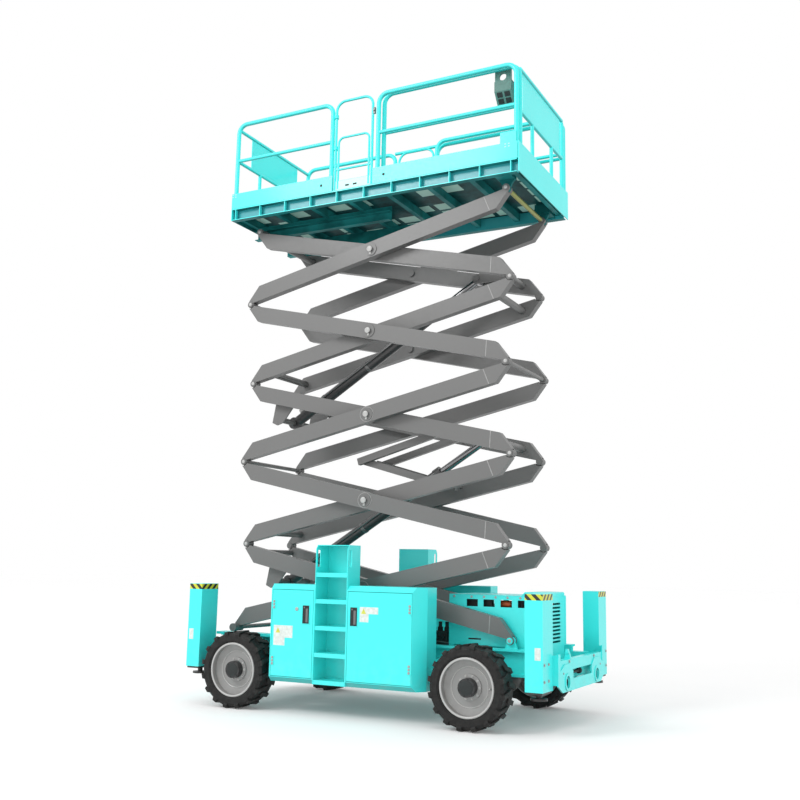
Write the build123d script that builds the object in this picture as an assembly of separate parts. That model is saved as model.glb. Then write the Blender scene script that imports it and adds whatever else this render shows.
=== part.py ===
from build123d import *
import math
import os

os.makedirs("parts", exist_ok=True)

# Axes: +X to the steered end, -Y to the entry-gate side, +Z up; millimetres, ground at zero

# Wheels and axles
WHEELBASE = 2840.0
TYRE_R = 419.0
TYRE_IN = 845.0
TYRE_OUT = 1150.0
TREAD_DEPTH = 22.0
LUG_WIDTH = 52.0
LUG_LEAN = 44.0
LUGS = 16
BEAD_R = 296.0
RIM_FACE = 1120.0
HUB_R = 92.0
HUB_FACE = 990.0
KING_Y = 905.0
KING_R = 18.0
AXLE_R = 74.0
RUN_GAP = 0.7

# Scissor stack
ARM_L = 3526.0
ARM_D = 185.0
ARM_WALL = 12.0
PIN_OFF = 102.5
REST_DEG = 16.13
X_FRONT = 1643.0
Z_BASE = 848.0
STAGES = 5
OUTER_Y = (545.0, 645.0)
INNER_Y = (420.0, 520.0)
CHAMFER = 165.0
TIP = 14.0
PIN_R = 24.0
CENTRE_R = 30.0
EYE_R = 42.0
FORK_T = 29.0
FORK_GAP = 5.0
ROLLER_R = 46.0
BEAM_R = 42.0
FIT = 0.3

# Lift cylinders
BARREL_R = 65.0
ROD_R = 42.0
GLAND = 2420.0
ROD_LEN = 2280.0
EAR_BACK = 395.0
EAR_T = -262.0
EAR_PIN_R = 35.0
HEAD_TUBE_S = 235.0
LOWER_HEAD = (505.0, 22.0)
UPPER_HEAD = (605.0, -78.0)

# Hose carrier: two pairs of channels that fold with the arms
HOSE_ARM = 1018.0
HOSE_D = 80.0
HOSE_UPPER_Y = (232.0, 292.0)
HOSE_LOWER_Y = (168.0, 228.0)
HOSE_PIN_R = 16.0

# Chassis
RAIL_IN = 480.0
RAIL_OUT = 612.0
RAIL_Z = (500.0, 770.0)
TRACK_Y = (662.0, 735.0)
TRACK_GAP = 6.0
BOX_FRONT = (2022.0, 2205.0)
BOX_REAR = (-2092.0, -1915.0)
BOX_Y = (800.0, 1100.0)
BOX_Z = (420.0, 1350.0)
BOX_WALL = 10.0
NOSE = 55.0
NOSE_Z = 385.0
TIE_Y = 510.0
TIE_Z = 478.0
TIE_R = 60.0

# Cabinets and ladders
CAB_X = (-930.0, 912.0)
CAB_Y = (750.0, 1120.0)
CAB_Z = (330.0, 1375.0)
CAB_CORNER = (97.0, 150.0)
SHEET = 6.0
DOOR_T = 24.0
DOOR_GAP = 5.0
HINGE_R = 5.0
HINGE_OUT = 3.5
LADDER_X = (-372.0, 32.0)
LADDER_BACK = 850.0
LADDER_TOP = 1805.0
FIRST_STEP = 378.0
STEP_PITCH = 282.0

# Engine pod
POD_X = (890.0, 1960.0)
POD_Y = 380.0
POD_Z = (775.0, 1300.0)
POD_WALL = 8.0
LOUVRES = 11
WINDOWS = 4
WINDOW_PITCH = 195.0

# Platform, set out from the top pins of the stack
PLAT_X = (-1954.0, 1877.0)
PLAT_Y = 848.5
PIN_TO_CHANNEL = 76.0
CHAN_H = 145.0
MEMBER_H = 100.0
FLOOR_T = 8.0
TOE_H = 193.0
TOE_T = 8.0
STEP_UP = 125.0
RAIL_H = 1147.0
MID_H = 637.0
GATE_X = (-487.0, 60.0)
TUBE_R = 27.0
MID_R = 22.0
GATE_R = 16.0
BEND_R = 120.0
DECK_X = 110.0
DECK_T = 28.0
DECK_SIDE = 95.0
DECK_RAIL_UP = 20.0
GUARD_DROP = 40.0
GUARD_INSET = 281.0

# Worked-out values
TILT = math.radians(REST_DEG) - math.asin(2 * PIN_OFF / ARM_L)
BODY_L = math.sqrt(ARM_L ** 2 - (2 * PIN_OFF) ** 2)
SPAN = ARM_L * math.cos(math.radians(REST_DEG))
RISE = ARM_L * math.sin(math.radians(REST_DEG))
X_REAR = X_FRONT - SPAN
TOP_PIN = Z_BASE + STAGES * RISE
CHAN_Z = (TOP_PIN + PIN_TO_CHANNEL, TOP_PIN + PIN_TO_CHANNEL + CHAN_H)
FLOOR_Z = CHAN_Z[1] + FLOOR_T
TOE_Z = FLOOR_Z + TOE_H
RAIL_TOP = FLOOR_Z + RAIL_H
MID_Z = FLOOR_Z + MID_H
EAR_S = BODY_L - EAR_BACK
FRAME_X = (BOX_REAR[1] - 70.0, BOX_FRONT[0] - 37.0)

# Shift that puts the origin under the middle of the whole length
DATUM_X = -(BOX_REAR[0] + BOX_FRONT[1]) / 2


def box(x0, x1, y0, y1, z0, z1):
    return Pos((x0 + x1) / 2, (y0 + y1) / 2, (z0 + z1) / 2) * Box(x1 - x0, y1 - y0, z1 - z0)


def rod_y(x, z, r, y0, y1):
    return Pos(x, (y0 + y1) / 2, z) * Rot(90, 0, 0) * Cylinder(r, y1 - y0)


def rod_x(y, z, r, x0, x1):
    return Pos((x0 + x1) / 2, y, z) * Rot(0, 90, 0) * Cylinder(r, x1 - x0)


def rod_z(x, y, r, z0, z1):
    return Pos(x, y, (z0 + z1) / 2) * Cylinder(r, z1 - z0)


# Prisms from outlines in the side, plan and end views
def plate(points, y0, y1):
    wire = Wire.make_polygon([Vector(x, y0, z) for x, z in points], close=True)
    return extrude(Face(wire), amount=y1 - y0, dir=(0, 1, 0))


def plan(points, z0, z1):
    wire = Wire.make_polygon([Vector(x, y, z0) for x, y in points], close=True)
    return extrude(Face(wire), amount=z1 - z0, dir=(0, 0, 1))


def section(points, x0, x1):
    wire = Wire.make_polygon([Vector(x0, y, z) for y, z in points], close=True)
    return extrude(Face(wire), amount=x1 - x0, dir=(1, 0, 0))


def join(first, *rest):
    return first.fuse(*rest).clean()


def far(shape):
    return shape.mirror(Plane.XZ)


def both(shape):
    return Compound([shape, far(shape)])


def bar(a, b, r):
    start = Vector(*a)
    run = Vector(*b) - start
    return Solid.make_cylinder(r, run.length, Plane(origin=start, z_dir=run))


# Bent tube in a plane of constant y: two posts and a top rail with round corners
def hoop(xa, xb, y, z0, z1, r, bend=BEND_R):
    path = FilletPolyline((xa, y, z0), (xa, y, z1), (xb, y, z1), (xb, y, z0), radius=bend)
    return sweep(Plane(origin=(xa, y, z0), z_dir=(0, 0, 1)) * Circle(r), path=path).solid()


def save(shape, name):
    export_step(Pos(DATUM_X, 0, 0) * shape, f"parts/{name}.step")


# Arm frame: s runs along the arm from its lower pin, t across it, both in the arm's own plane
def leans_forward(kind, stage):
    return (kind == "outer") == (stage % 2 == 1)


def arm_point(kind, stage, s, t):
    z = Z_BASE + (stage - 1) * RISE
    u = s * math.cos(TILT) - (t + PIN_OFF) * math.sin(TILT)
    w = s * math.sin(TILT) + (t + PIN_OFF) * math.cos(TILT)
    if leans_forward(kind, stage):
        return (X_REAR + u, z + w)
    return (X_FRONT - u, z + w)


def arm_plate(kind, stage, outline, y0, y1):
    return plate([arm_point(kind, stage, s, t) for s, t in outline], y0, y1)


# Eye at one end of an arm: a fork round the next piece, a tongue inside it, or the full width
def eye(body, centre, y0, y1, form):
    x, z = centre
    tongue = FORK_T + FORK_GAP
    if form == "fork":
        body = body - rod_y(x, z, EYE_R + 10, y0 + FORK_T, y1 - FORK_T)
        return body + rod_y(x, z, EYE_R, y0, y0 + FORK_T) + rod_y(x, z, EYE_R, y1 - FORK_T, y1)
    if form == "tongue":
        for a, b in ((y0 - 1, y0 + tongue), (y1 - tongue, y1 + 1)):
            body = body - rod_y(x, z, EYE_R + 10, a, b)
        return body + rod_y(x, z, EYE_R, y0 + tongue, y1 - tongue)
    return body + rod_y(x, z, EYE_R, y0, y1)


# One hollow arm on the far side, with its eyes and the places of its three pins
def arm(kind, stage, low_form, top_form):
    y0, y1 = OUTER_Y if kind == "outer" else INNER_Y
    half = ARM_D / 2
    nose = half - 36
    outline = [(-TIP, -half), (BODY_L - CHAMFER, -half), (BODY_L + TIP, nose)]
    outline += [(BODY_L + TIP, half), (CHAMFER, half), (-TIP, -nose)]
    body = arm_plate(kind, stage, outline, y0, y1)
    low = arm_point(kind, stage, 0, -PIN_OFF)
    top = arm_point(kind, stage, BODY_L, PIN_OFF)
    mid = arm_point(kind, stage, BODY_L / 2, 0)
    clear = half - ARM_WALL
    for a, b in ((300, BODY_L / 2 - 110), (BODY_L / 2 + 110, BODY_L - 300)):
        core = [(a, -clear), (b, -clear), (b, clear), (a, clear)]
        body = body - arm_plate(kind, stage, core, y0 + ARM_WALL, y1 - ARM_WALL)
    body = eye(body, low, y0, y1, low_form)
    body = eye(body, top, y0, y1, top_form)
    return body, low, top, mid


def outer_frame(stage):
    low_form = "fork" if stage > 1 else "full"
    top_form = "tongue" if stage < STAGES else "fork"
    body, low, top, mid = arm("outer", stage, low_form, top_form)
    y0, y1 = OUTER_Y
    head = INNER_Y[0] - 22
    body = body + rod_y(mid[0], mid[1], 78, y1, y1 + 9)
    body = body + rod_y(mid[0], mid[1], 60, y0 - 19, y0)
    body = body + rod_y(mid[0], mid[1], CENTRE_R, head + 8, y1 + 31)
    body = body + rod_y(mid[0], mid[1], CENTRE_R + 16, head, head + 14)
    pins = []
    if stage > 1:
        body = body - rod_y(low[0], low[1], PIN_R + FIT, y0 - 5, y1 + 5)
        pins.append(rod_y(top[0], top[1], PIN_R, -y1 - 4, y1 + 4))
    else:
        body = body + rod_y(low[0], low[1], ROLLER_R, TRACK_Y[0] - 5, TRACK_Y[1] - 17)
        body = body + rod_y(top[0], top[1], PIN_R, y0 - 4, y1 + 4)
        pins.append(rod_y(low[0], low[1], PIN_R, -TRACK_Y[1] + 16, TRACK_Y[1] - 16))
    body = body + rod_y(top[0], top[1], 34, y1 + 0.5, y1 + 7)
    return join(pins[0], body, far(body))


# Plates that hang below an inner arm and carry a cylinder's lower eye
def cylinder_ears(stage, y0):
    hung_y = (y0 - 26, y0 - 6)
    root = -ARM_D / 2
    skirt = [(BODY_L - 330, root + 40), (BODY_L - 600, root + 40), (EAR_S - 95, EAR_T - 30)]
    skirt += [(EAR_S - 20, EAR_T - 75), (EAR_S + 55, EAR_T - 60)]
    hung = arm_plate("inner", stage, skirt, *hung_y)
    pad = [(BODY_L - 332, root + 2), (BODY_L - 598, root + 2)]
    pad += [(BODY_L - 598, root + 40), (BODY_L - 332, root + 40)]
    hung = hung + arm_plate("inner", stage, pad, hung_y[0] + 1, y0 + 0.5)
    x, z = arm_point("inner", stage, EAR_S, EAR_T)
    hung = hung + rod_y(x, z, 58, hung_y[0], y0 - 6)
    return hung, rod_y(x, z, EAR_PIN_R, -hung_y[1], hung_y[1])


# Where each cylinder's rod eye sits on the inner arm above it
def head_place(stage):
    return LOWER_HEAD if stage == 3 else UPPER_HEAD


# Cross tube and cheeks that take a cylinder's rod eye
def cylinder_head(stage, y0):
    s, t = head_place(stage)
    x, z = arm_point("inner", stage, HEAD_TUBE_S, 0)
    pieces = [rod_y(x, z, BEAM_R, -y0 - 1, y0 + 1)]
    cheek = [(HEAD_TUBE_S - 30, -40), (HEAD_TUBE_S - 30, 40), (s - 20, t + 62)]
    cheek += [(s + 55, t + 20), (s + 55, t - 20), (s, t - 62)]
    x, z = arm_point("inner", stage, s, t)
    for a in (56, -78):
        pieces.append(arm_plate("inner", stage, cheek, a, a + 22))
        boss = a + 22 if a > 0 else a - 14
        pieces.append(rod_y(x, z, 36, boss, boss + 14))
    return pieces


def inner_frame(stage):
    top_form = "tongue" if stage < STAGES else "full"
    body, low, top, mid = arm("inner", stage, "fork", top_form)
    y0, y1 = INNER_Y
    body = body - rod_y(mid[0], mid[1], CENTRE_R + FIT, y0 - 5, y1 + 5)
    body = body - rod_y(low[0], low[1], PIN_R + FIT, y0 - 5, y1 + 5)
    if stage < STAGES:
        body = body + rod_y(top[0], top[1], PIN_R, y0 - 4, y1 + 4)
        body = body + rod_y(top[0], top[1], 34, y1 + 0.5, y1 + 7)
        body = body + rod_y(top[0], top[1], 34, y0 - 7, y0 - 0.5)
    else:
        body = body + rod_y(top[0], top[1], ROLLER_R, y0 - 66, y0 - 8)
        body = body + rod_y(top[0], top[1], PIN_R, y0 - 66, y0)
    carriers = []
    tubes = {1: [(BODY_L - 50, 15)], 2: [(190, 0)], 3: [(BODY_L - 50, 15)]}
    tubes.update({4: [(190, 0), (BODY_L - 235, 0)], 5: [(BODY_L - 235, 0)]})
    tube_r = BEAM_R if stage % 2 == 0 or stage == STAGES else BEAM_R - 8
    for s, t in tubes[stage]:
        x, z = arm_point("inner", stage, s, t)
        carriers.append(rod_y(x, z, tube_r, -y0 - 1, y0 + 1))
    if stage in (1, 3):
        ears, pin = cylinder_ears(stage, y0)
        body = body + ears
        carriers.append(pin)
    if stage in (3, 5):
        carriers.extend(cylinder_head(stage, y0))
    if stage in (2, 3):
        x, z = hose_pivot(stage)
        inside = HOSE_UPPER_Y[0] if stage == 3 else HOSE_LOWER_Y[0]
        body = body + rod_y(x, z, HOSE_PIN_R, inside - 2, y0 + 1)
    return join(carriers[0], *carriers[1:], body, far(body))


# Hose carrier: each channel lies parallel to the arm that the other one hangs on
def hose_pivot(stage):
    z = Z_BASE + 2 * RISE
    turn = math.radians(REST_DEG)
    rise = HOSE_ARM * math.sin(turn)
    return (X_FRONT - HOSE_ARM * math.cos(turn), z + rise if stage == 3 else z - rise)


def hose_link(stage, y0, y1, joint_bore):
    x, z = hose_pivot(stage)
    turn = math.radians(REST_DEG)
    dx = -math.cos(turn)
    dz = -math.sin(turn) if stage == 3 else math.sin(turn)
    half = HOSE_D / 2

    def place(s, t):
        return (x + s * dx + t * dz, z + s * dz - t * dx)

    outline = [(-45, -half), (HOSE_ARM + 45, -half), (HOSE_ARM + 45, half), (-45, half)]
    tray = plate([place(s, t) for s, t in outline], y0, y1)
    hollow = [(60, 6 - half), (HOSE_ARM - 60, 6 - half), (HOSE_ARM - 60, half + 1), (60, half + 1)]
    tray = tray - plate([place(s, t) for s, t in hollow], y0 + 6, y1 - 6)
    tray = tray - rod_y(x, z, HOSE_PIN_R + FIT, y0 - 1, y1 + 1)
    joint = place(HOSE_ARM, 0)
    if joint_bore:
        tray = tray - rod_y(joint[0], joint[1], HOSE_PIN_R + FIT, y0 - 1, y1 + 1)
        return both(tray)
    pin = rod_y(joint[0], joint[1], HOSE_PIN_R, -y1, y1)
    return join(pin, tray, far(tray))


for stage in range(1, STAGES + 1):
    save(outer_frame(stage), f"outer_arms_{stage}")
    save(inner_frame(stage), f"inner_arms_{stage}")
save(hose_link(3, *HOSE_UPPER_Y, False), "hose_link_upper")
save(hose_link(2, *HOSE_LOWER_Y, True), "hose_link_lower")


# Lift cylinders: barrel on the ears of one inner arm, rod towards the cheeks two stages up
def cylinder_pair(low_stage, number):
    a = arm_point("inner", low_stage, EAR_S, EAR_T)
    b = arm_point("inner", low_stage + 2, *head_place(low_stage + 2))
    length = math.dist(a, b)
    line = Plane(origin=(a[0], 0, a[1]), x_dir=(0, 1, 0), z_dir=(b[0] - a[0], 0, b[1] - a[1]))
    shell = Solid.make_cylinder(BARREL_R, GLAND - 60, line.offset(60))
    shell = shell - Solid.make_cylinder(BARREL_R - 14, GLAND - 160, line.offset(100))
    shell = shell + Solid.make_cylinder(BARREL_R + 9, 90, line.offset(GLAND - 90))
    shell = shell - Solid.make_cylinder(ROD_R + FIT, 300, line.offset(GLAND - 200))
    shell = shell + rod_y(a[0], a[1], BARREL_R + 9, -46, 46)
    shell = shell - rod_y(a[0], a[1], EAR_PIN_R + FIT, -60, 60)
    save(shell.clean(), f"cylinder_barrel_{number}")
    rod = Solid.make_cylinder(ROD_R, ROD_LEN, line.offset(length - ROD_LEN))
    rod = rod + rod_y(b[0], b[1], 60, -50, 50)
    save(rod.clean(), f"cylinder_rod_{number}")


cylinder_pair(1, 1)
cylinder_pair(3, 2)


# Tongue on a fixed frame that fits the forked eyes of an arm pair, reaching up or down from the pin
def tongue(x, z, reach, y0, y1):
    a, b = y0 + FORK_T + FORK_GAP, y1 - FORK_T - FORK_GAP
    side = EYE_R * math.cos(math.radians(20))
    rise = math.copysign(EYE_R * math.sin(math.radians(20)), reach)
    outline = [(x - side, z + rise), (x - 95, z + reach), (x + 95, z + reach), (x + side, z + rise)]
    return plate(outline, a, b) + rod_y(x, z, EYE_R, a, b)


# End plate across the chassis: round lobes with tie-down eyes and a wide notch between them
def nose_plate(face, inward):
    x0, x1 = sorted((face, face + 16 * inward))
    low, high = NOSE_Z, TIE_Z + 175
    lobe = 200.0
    half = [(0, low), (660, low), (BOX_Y[0], low + 70), (BOX_Y[0], high + 110), (BOX_Y[0] - 70, high + 110)]
    half += [(BOX_Y[0] - 70, high - 60), (TIE_Y + 90, high), (TIE_Y - 90, high)]
    half += [(TIE_Y - lobe + 10, high - 80), (TIE_Y - lobe + 10, TIE_Z + 22), (0, TIE_Z + 22)]
    body = section(half, x0, x1)
    ring = sorted((face, face - 8 * inward))
    body = body + rod_x(TIE_Y, TIE_Z, TIE_R + 26, ring[0], ring[1])
    body = body - rod_x(TIE_Y, TIE_Z, TIE_R, x0 - 20, x1 + 20)
    reach = sorted((face + 10 * inward, face + (NOSE + 20) * inward))
    body = body + box(reach[0], reach[1], BOX_Y[0] - 16, BOX_Y[0] + 1, low + 80, high + 100)
    body = body + box(reach[0], reach[1], -1, BOX_Y[0] - 10, TIE_Z + 110, TIE_Z + 215)
    return body


# Chassis frame with stabilizer housings, arm tongues and slide tracks
def chassis():
    x0, x1 = FRAME_X
    z0, z1 = RAIL_Z
    rail = box(x0, x1, RAIL_IN, RAIL_OUT, z0, z1)
    rail = rail - box(x0 - 1, x1 + 1, RAIL_IN + 60, RAIL_OUT + 1, z0 + 22, z1 - 22)
    side = [rail, tongue(X_FRONT, Z_BASE, z1 - 70 - Z_BASE, *INNER_Y)]
    side.append(rod_y(X_FRONT, Z_BASE, PIN_R, INNER_Y[0] - 7, INNER_Y[1] + 7))
    side.append(rod_y(X_FRONT, Z_BASE, 34, INNER_Y[1] + 0.6, INNER_Y[1] + 7))
    side.append(box(X_FRONT - 130, X_FRONT + 110, INNER_Y[0] - 10, RAIL_IN + 5, z1 - 75, z1 - 50))
    t0, t1 = BOX_REAR[1] - 45, 60.0
    bed = Z_BASE - ROLLER_R - TRACK_GAP
    side.append(box(t0, t1, RAIL_OUT - 40, TRACK_Y[1], z1 - 4, bed))
    for x in (CAB_X[0] + 50, CAB_X[1] - 42):
        side.append(box(x - 45, x + 45, RAIL_IN + 50, CAB_Y[0], z0 + 20, z0 + 140))
    for xa, xb in (BOX_FRONT, BOX_REAR):
        case = box(xa, xb, *BOX_Y, *BOX_Z)
        hollow = box(xa + BOX_WALL, xb - BOX_WALL, BOX_Y[0] + BOX_WALL, BOX_Y[1] - BOX_WALL,
                     BOX_Z[0] - 1, BOX_Z[1] - BOX_WALL)
        side.append(case - hollow)
        mid = (xa + xb) / 2
        side.append(box(mid - 65, mid + 65, -1, BOX_Y[0] + 5, z0 - 20, z0 + 110))
    side.append(nose_plate(BOX_FRONT[1] + NOSE, -1))
    side.append(nose_plate(BOX_REAR[0] - NOSE, 1))
    side.append(box(x1 - 60, BOX_FRONT[1] - 60, RAIL_IN, RAIL_OUT, z0, z1 - 70))
    side.append(box(BOX_REAR[0] + 60, x0 + 60, RAIL_IN, RAIL_OUT, z0, z1 - 70))
    half = side[0].fuse(*side[1:])
    tray = box(-1500, POD_X[0] + 70, -RAIL_IN - 1, RAIL_IN + 1, z0, z0 + 12)
    tray = tray - box(-1600, -1200, -200, 200, z0 - 10, z0 + 20)
    front = box(X_FRONT + 57, X_FRONT + 157, -RAIL_IN - 1, RAIL_IN + 1, z0 + 60, z1 - 30)
    rear = box(x0 + 185, x0 + 285, -RAIL_IN - 1, RAIL_IN + 1, z0 + 20, z1 - 70)
    return join(half, far(half), tray, front, rear)


save(chassis(), "chassis")


# Axles: both carry wheels at the same height, the front one ends at the steering knuckles
def axle(x, end):
    half = rod_y(x, TYRE_R, AXLE_R, -1, end)
    half = half + box(x - 70, x + 70, RAIL_IN + 10, RAIL_OUT - 10, TYRE_R, RAIL_Z[0])
    bulb = Pos(x, 0, TYRE_R) * Sphere(2 * AXLE_R)
    return half.fuse(far(half), bulb)


def axles():
    x = -WHEELBASE / 2
    rear = axle(x, HUB_FACE - RUN_GAP)
    drum = rod_y(x, TYRE_R, 118, HUB_FACE - 90, HUB_FACE - 12)
    rear = rear.fuse(drum, far(drum))
    x = WHEELBASE / 2
    front = axle(x, KING_Y - 84)
    yoke = box(x - 48, x + 48, KING_Y - 130, KING_Y - 82, TYRE_R - 130, TYRE_R + 130)
    for z in (TYRE_R + 96, TYRE_R - 130):
        yoke = yoke.fuse(box(x - 48, x + 48, KING_Y - 130, KING_Y, z, z + 34))
        yoke = yoke.fuse(rod_z(x, KING_Y, 48, z, z + 34))
    for z in (TYRE_R - 134, TYRE_R + 70):
        yoke = yoke.fuse(rod_z(x, KING_Y, KING_R, z, z + 64))
    front = front.fuse(yoke, far(yoke))
    return Compound([rear.clean(), front.clean()])


save(axles(), "axles")


def knuckle(side):
    x = WHEELBASE / 2
    body = rod_z(x, KING_Y, 58, TYRE_R - 90, TYRE_R + 90)
    body = body + rod_y(x, TYRE_R, 86, KING_Y + 20, HUB_FACE - RUN_GAP)
    body = body + box(x - 190, x - 20, KING_Y - 24, KING_Y + 30, TYRE_R - 80, TYRE_R - 50)
    body = body - rod_z(x, KING_Y, KING_R + FIT, TYRE_R - 140, TYRE_R + 140)
    return far(body) if side < 0 else body


save(knuckle(-1), "knuckle_near")
save(knuckle(1), "knuckle_far")


# Outline of flat facets round the wheel's axis, one facet under each bar of the tread
def facets(r, y):
    sides = 2 * LUGS
    turn = math.pi / sides
    reach = r / math.cos(turn)
    angles = [turn * (2 * i + 1) for i in range(sides)]
    corners = [Vector(reach * math.sin(a), y, -reach * math.cos(a)) for a in angles]
    return Wire.make_polygon(corners, close=True)


def carcass():
    ground = TYRE_R - TREAD_DEPTH
    bead = BEAD_R + FIT
    wall = ground - 30
    outside = [(wall, TYRE_IN + 8), (ground, TYRE_IN + 26), (ground, TYRE_OUT - 26), (wall, TYRE_OUT - 8)]
    inside = [(bead + 28, TYRE_IN + 7), (bead, TYRE_IN + 36), (bead, TYRE_OUT - 30), (bead + 22, TYRE_OUT - 7)]
    skin = Solid.make_loft([facets(r, y) for r, y in outside], ruled=True)
    return skin - Solid.make_loft([facets(r, y) for r, y in inside], ruled=True)


# Tyre: bars at the bottom of the carcass lean round it from a shoulder to the middle
def lug(mirrored):
    wide = (LUG_WIDTH + LUG_LEAN) / 2
    tip = -math.sqrt(TYRE_R ** 2 - wide ** 2)
    root = TREAD_DEPTH + 8 - TYRE_R
    middle = (TYRE_IN + TYRE_OUT) / 2 - 18
    outline = [(-wide, TYRE_OUT), (LUG_WIDTH - wide, TYRE_OUT), (wide, middle), (wide - LUG_WIDTH, middle)]
    end = [(middle - 1, tip), (TYRE_OUT - 8, tip), (TYRE_OUT, tip + 30), (TYRE_OUT - 14, tip + 62)]
    end += [(TYRE_OUT - 60, root), (middle - 1, root)]
    bar_shape = plan(outline, tip - 1, tip + 70) & section(end, -wide - 1, wide + 1)
    if mirrored:
        bar_shape = Pos(0, TYRE_IN + TYRE_OUT, 0) * far(bar_shape)
    return bar_shape, math.degrees(math.atan2(wide, -tip))


def tyre(x, side):
    step = 180.0 / LUGS
    bars = []
    for i in range(2 * LUGS):
        bar_shape, phase = lug(i % 2 == 1)
        bars.append(Rot(0, i * step, 0) * bar_shape)
    body = join(carcass(), *bars)
    body = Pos(x, 0, TYRE_R) * Rot(0, phase, 0) * body
    return far(body) if side < 0 else body


# Rim: dished disc with a planetary hub that stands proud of it
def rim(x, side):
    y = TYRE_IN
    lip = BEAD_R - 14
    profile = [(0, HUB_FACE), (130, HUB_FACE), (130, y + 175), (lip, y + 175), (lip, y + 36)]
    profile += [(BEAD_R, y + 36), (BEAD_R, RIM_FACE), (BEAD_R - 24, RIM_FACE), (BEAD_R - 24, y + 215)]
    profile += [(200, y + 190), (130, y + 190), (130, y + 205), (HUB_R, y + 210)]
    profile += [(HUB_R, RIM_FACE + 8), (0, RIM_FACE + 8)]
    wire = Wire.make_polygon([Vector(x, b, TYRE_R + r) for r, b in profile], close=True)
    disc = revolve(Face(wire), axis=Axis((x, 0, TYRE_R), (0, 1, 0)))
    return far(disc) if side < 0 else disc


for place, x in (("front", WHEELBASE / 2), ("rear", -WHEELBASE / 2)):
    for name, side in (("near", -1), ("far", 1)):
        save(tyre(x, side), f"tyre_{place}_{name}")
        save(rim(x, side), f"rim_{place}_{name}")


# Side cabinets: folded shells with sloped outer edges, one behind and one ahead of the ladder
DOOR_Z = (CAB_Z[0] + 62.0, CAB_Z[1] - 62.0)
REAR_DOOR = (CAB_X[0] + 18.0, LADDER_X[0] - 16.0)
FRONT_DOOR = (LADDER_X[1] + 16.0, CAB_X[1] - CAB_CORNER[0] - 9.0)


def cab_section(inset):
    y0, y1 = CAB_Y[0] + inset, CAB_Y[1] - inset
    z0, z1 = CAB_Z[0] + inset, CAB_Z[1] - inset
    return [(y0, z0), (y1 - 45, z0), (y1, z0 + 50), (y1, z1 - 50), (y1 - 40, z1), (y0, z1)]


def shell(xa, xb):
    return section(cab_section(0), xa, xb) - section(cab_section(SHEET), xa + SHEET, xb - SHEET)


# Ladder between the two cabinets of one side, with hand holes above them
def ladder():
    a, b = LADDER_X
    front, back = CAB_Y[1] - 2, LADDER_BACK
    low, top = CAB_Z[0] + 2, LADDER_TOP
    pieces = [box(a, b, back, back + 8, low, top), box(a, b, back, front - 33, top - 8, top)]
    for x in (a, b - 8):
        cheek = [(front, low), (front, top - 45), (front - 33, top), (back + 10, top), (back, low)]
        grip = box(x - 1, x + 9, front - 83, front - 33, top - 235, top - 55)
        pieces.append(section(cheek, x, x + 8) - grip)
    for i in range(5):
        z = FIRST_STEP + i * STEP_PITCH
        pieces.append(box(a + 2, b - 2, back + 5, front - 6, z - 12, z))
        pieces.append(box(a + 2, b - 2, front - 18, front - 6, z - 45, z))
    return pieces[0].fuse(*pieces[1:])


def cabinets():
    rear = shell(CAB_X[0], LADDER_X[0])
    front = shell(LADDER_X[1], CAB_X[1])
    xa, xb = CAB_X[1] - CAB_CORNER[0], CAB_X[1]
    ya, yb = CAB_Y[1] - CAB_CORNER[1], CAB_Y[1]
    slope = CAB_CORNER[1] / CAB_CORNER[0]
    corner = [(xa, yb), (xa, yb + 10), (xb + 13, yb + 10), (xb + 13, ya - 13 * slope), (xb, ya)]
    front = front - plan(corner, CAB_Z[0] - 10, CAB_Z[1] + 10)
    wall = [(xa - SHEET, yb), (xa, yb), (xb, ya), (xb, ya - 15), (xb - SHEET, ya - 15)]
    wall = plan(wall, *CAB_Z) & section(cab_section(0), xa - SHEET, xb)
    front = front + wall
    for a, b in (REAR_DOOR, FRONT_DOOR):
        cut = box(a - DOOR_GAP, b + DOOR_GAP, yb - 40, yb + 10, DOOR_Z[0] - DOOR_GAP, DOOR_Z[1] + DOOR_GAP)
        rear = rear - cut
        front = front - cut
    return both(join(rear, front, ladder()))


save(cabinets(), "cabinets")


def door(span, hinge_x, side):
    face = CAB_Y[1]
    pieces = [box(span[0], span[1], face - DOOR_T, face, DOOR_Z[0], DOOR_Z[1])]
    inward = math.copysign(1, sum(span) / 2 - hinge_x)
    axis = hinge_x - inward * HINGE_OUT
    edge = sorted((axis, hinge_x))
    reach = sorted((axis, axis + inward * 46))
    for z in (DOOR_Z[0] + 110, DOOR_Z[1] - 210):
        leaf = box(reach[0], reach[1], face, face + 6, z, z + 100)
        leaf = leaf - box(edge[0], edge[1], face - 1, face + 0.5, z, z + 100)
        pieces.append(rod_z(axis, face + HINGE_R + 0.5, HINGE_R, z, z + 100) + leaf)
    if side < 0:
        pieces = [far(piece) for piece in pieces]
    return Compound([solid for piece in pieces for solid in piece.solids()])


for name, side in (("near", -1), ("far", 1)):
    save(door(REAR_DOOR, REAR_DOOR[0], side), f"door_rear_{name}")
    save(door(FRONT_DOOR, FRONT_DOOR[1], side), f"door_front_{name}")


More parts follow.
